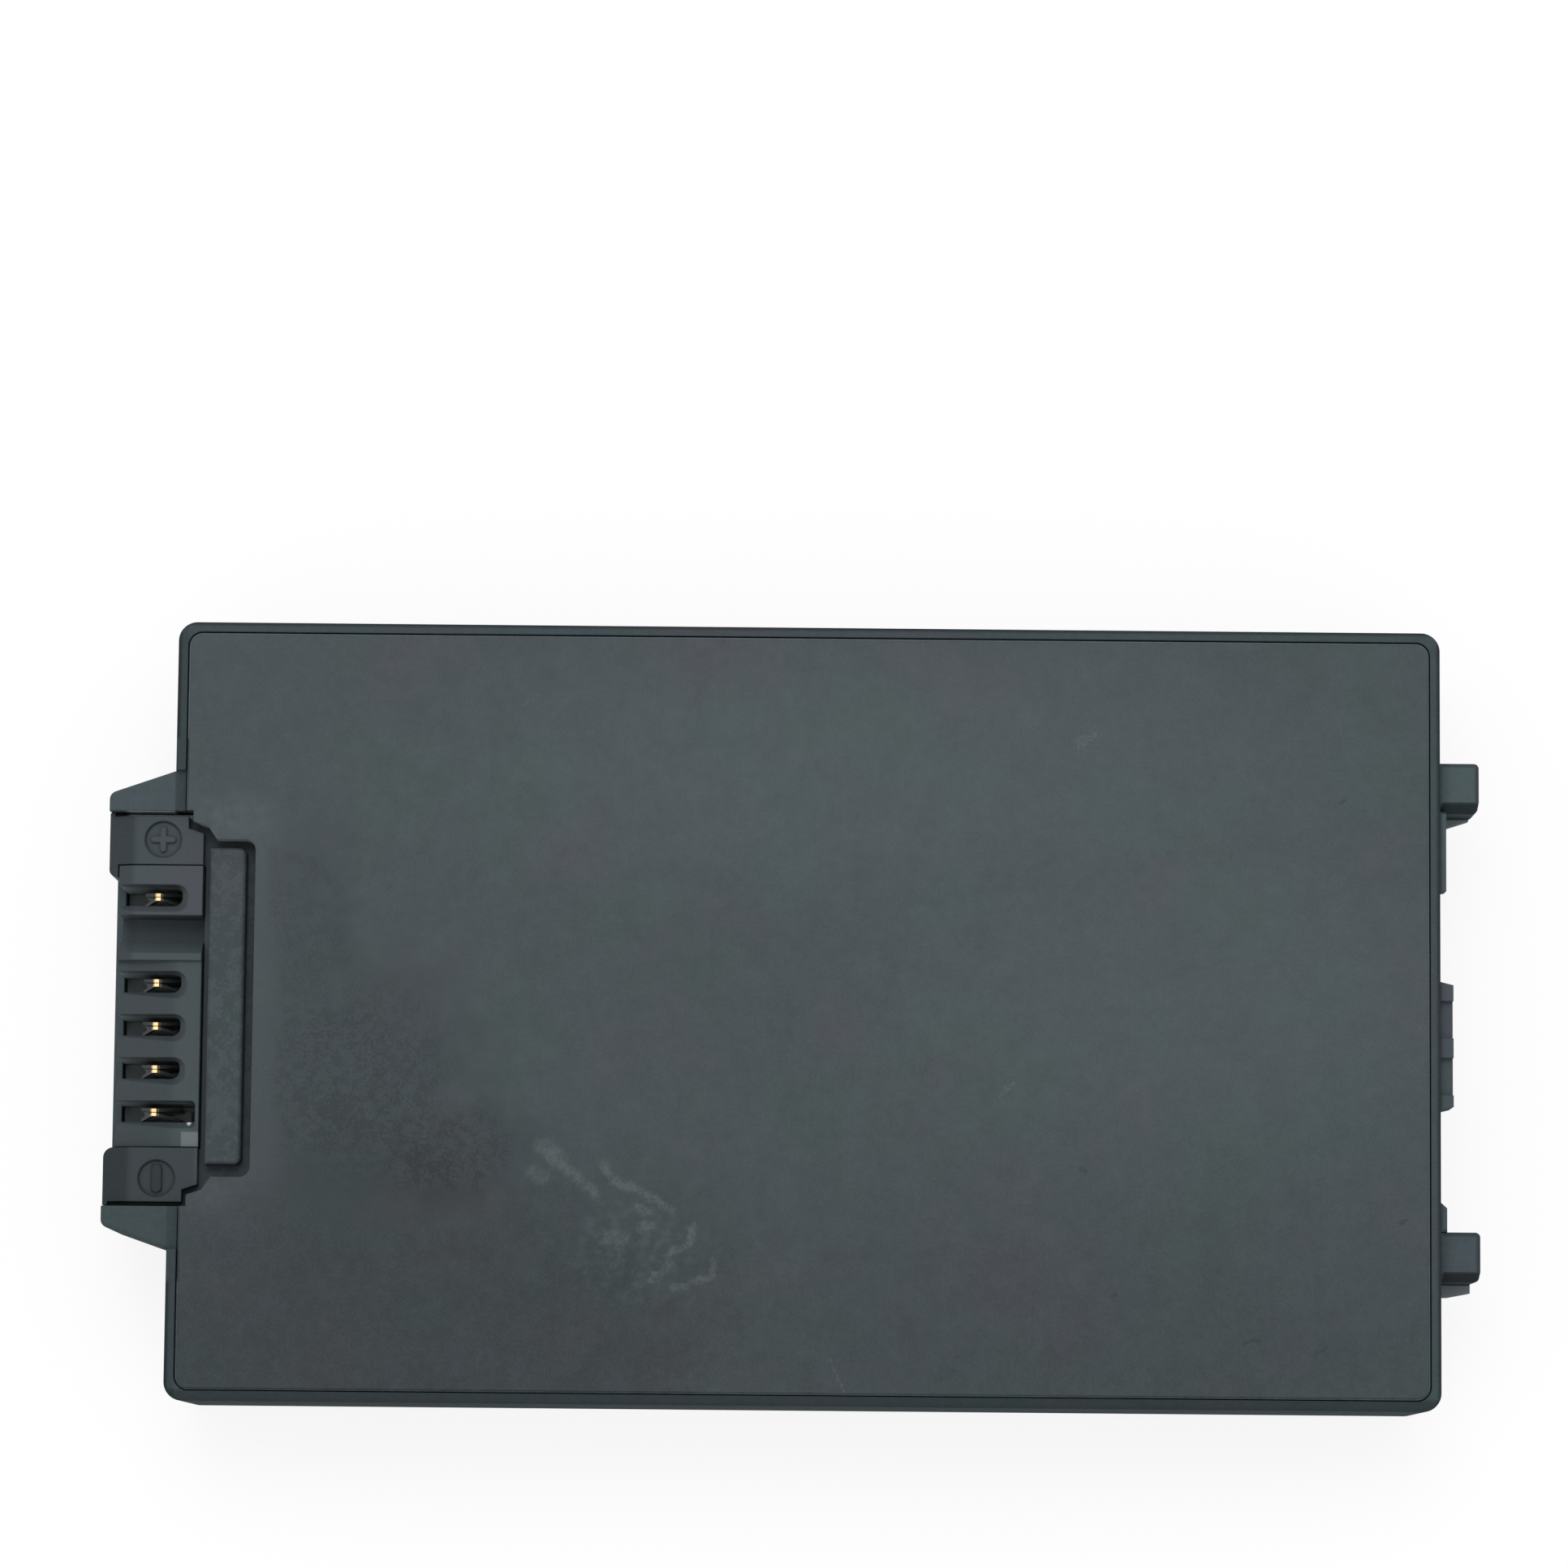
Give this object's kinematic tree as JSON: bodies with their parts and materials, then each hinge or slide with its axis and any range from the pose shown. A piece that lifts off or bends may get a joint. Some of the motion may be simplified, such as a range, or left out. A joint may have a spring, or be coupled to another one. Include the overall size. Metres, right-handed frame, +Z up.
{
  "type": "handheld computer battery",
  "caption": "Flat rectangular battery pack for a handheld computer: plastic case with a flush cover, slotted contacts in a nose at one end, lugs and a latch block at the other.",
  "frame": {"origin": "centre of the case's flat underside, the face away from the pictured cover", "axes": "+X along the length to the lug end, -X to the contact end, +Y across the width to the positive contact's side, +Z up through the thickness to the cover"},
  "size_m": [0.095, 0.054, 0.013],
  "materials": {
    "case_plastic": "fine moulded grain, lightly worn, slate grey",
    "frame_plastic": "fine moulded grain, worn, slate grey",
    "housing_plastic": "smooth moulded, dark slate grey",
    "contact_metal": "gold over nickel where the leaves pinch",
    "cell_can": "drawn can, satin",
    "mounting_tape": "thin double-sided tape",
    "foam": "soft closed-cell foam",
    "insulating_paper": "fibre sheet",
    "nickel_strip": "rolled nickel strip",
    "board_laminate": "green solder mask",
    "chip_moulding": "black epoxy moulding",
    "chip_ceramic": "fired ceramic with tinned ends"
  },
  "bodies": {
    "root": {"case_base": "case_plastic", "case_cover": "case_plastic", "contact_frame": "frame_plastic", "connector_housing": "housing_plastic", "contact_positive": "contact_metal", "contact_signal_a": "contact_metal", "contact_signal_b": "contact_metal", "contact_signal_c": "contact_metal", "contact_negative": "contact_metal", "cell_a": "cell_can", "cell_b": "cell_can", "tape_a": "mounting_tape", "tape_b": "mounting_tape", "foam_pad_a": "foam", "foam_pad_b": "foam", "end_insulator_a": "insulating_paper", "end_insulator_b": "insulating_paper", "series_link": "nickel_strip", "positive_lead": "nickel_strip", "negative_lead": "nickel_strip", "circuit_board": "board_laminate", "gauge_chip": "chip_moulding", "protector_chip": "chip_moulding", "switch_chip_a": "chip_moulding", "switch_chip_b": "chip_moulding", "sense_resistor": "chip_ceramic", "chip_fuse": "chip_ceramic", "thermistor": "chip_ceramic"}
  },
  "joints": []
}
